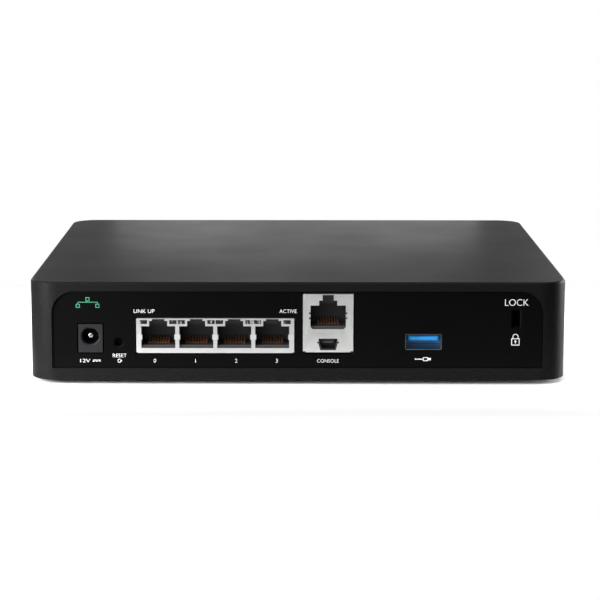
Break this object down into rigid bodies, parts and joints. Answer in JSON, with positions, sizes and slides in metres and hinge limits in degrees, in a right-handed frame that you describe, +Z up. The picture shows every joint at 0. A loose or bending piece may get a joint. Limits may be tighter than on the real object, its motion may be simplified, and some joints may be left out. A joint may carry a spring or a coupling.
{
  "type": "firewall appliance",
  "caption": "Small desktop network firewall box on rubber feet, with a recessed port panel carrying power, network, console and USB sockets, a reset pinhole and a lock slot.",
  "frame": {"origin": "centre of the floor plane that the four rubber feet stand on", "axes": "+X to the right as seen from the port side, which faces -Y; +Z up"},
  "size_m": [0.198, 0.175, 0.0382],
  "materials": {
    "case_plastic": "fine spark texture",
    "panel_plastic": "smooth satin",
    "rubber": "matte",
    "screw_steel": "zinc plated, dull",
    "bracket_steel": "rolled sheet",
    "clear_plastic": "clear",
    "board_laminate": "solder mask",
    "shield_metal": "satin plated sheet",
    "socket_plastic": "moulded",
    "jack_plastic": "moulded",
    "contact_gold": "plated",
    "lens_plastic": "frosted",
    "nickel_plate": "bright plated",
    "usb_blue": "moulded",
    "aluminium": "anodised",
    "chip_epoxy": "moulded epoxy",
    "pad_gum": "soft pad",
    "chip_ceramic": "fired",
    "cell_steel": "pressed can",
    "button_plastic": "moulded"
  },
  "bodies": {
    "chassis": {"base_plate": "case_plastic", "battery_clip": "cell_steel", "battery_holder": "socket_plastic", "board_screws": "screw_steel", "bulk_capacitors": "aluminium", "case_screws": "screw_steel", "chip_parts": "chip_ceramic", "clock_crystal": "cell_steel", "coin_cell": "cell_steel", "console_chip": "chip_epoxy", "console_jack_contacts": "contact_gold", "console_jack_housing": "jack_plastic", "console_jack_shield": "shield_metal", "cpu_chip": "chip_epoxy", "dc_jack_contact": "nickel_plate", "dc_jack_housing": "socket_plastic", "dc_jack_pin": "nickel_plate", "flash_chip": "chip_epoxy", "heat_sink": "aluminium", "heat_sink_screws": "screw_steel", "heat_sink_springs": "screw_steel", "lan_jack_contacts": "contact_gold", "lan_jack_housing": "jack_plastic", "lan_jack_shield": "shield_metal", "lan_led_lenses": "lens_plastic", "lan_transformers": "chip_epoxy", "light_pipes": "clear_plastic", "lock_bracket": "bracket_steel", "main_board": "board_laminate", "memory_chips": "chip_epoxy", "micro_usb_contacts": "contact_gold", "micro_usb_shell": "nickel_plate", "micro_usb_tongue": "chip_epoxy", "port_panel": "panel_plastic", "power_inductors": "chip_epoxy", "power_regulators": "chip_epoxy", "reset_dome": "cell_steel", "reset_switch_body": "chip_epoxy", "rubber_feet": "rubber", "status_leds": "lens_plastic", "switch_chip": "chip_epoxy", "thermal_pad": "pad_gum", "top_cover": "case_plastic", "usb_contacts": "contact_gold", "usb_power_switch": "chip_epoxy", "usb_shell": "nickel_plate", "usb_tongue": "usb_blue"},
    "reset_button": {"reset_plunger": "button_plastic"}
  },
  "joints": [
    {"name": "reset_press", "type": "slide", "parent": "chassis", "child": "reset_button", "axis": [0, 1, 0], "range_m": [0, 0.00025], "stiffness_N_per_m": 4000, "springref_m": -0.0001}
  ]
}
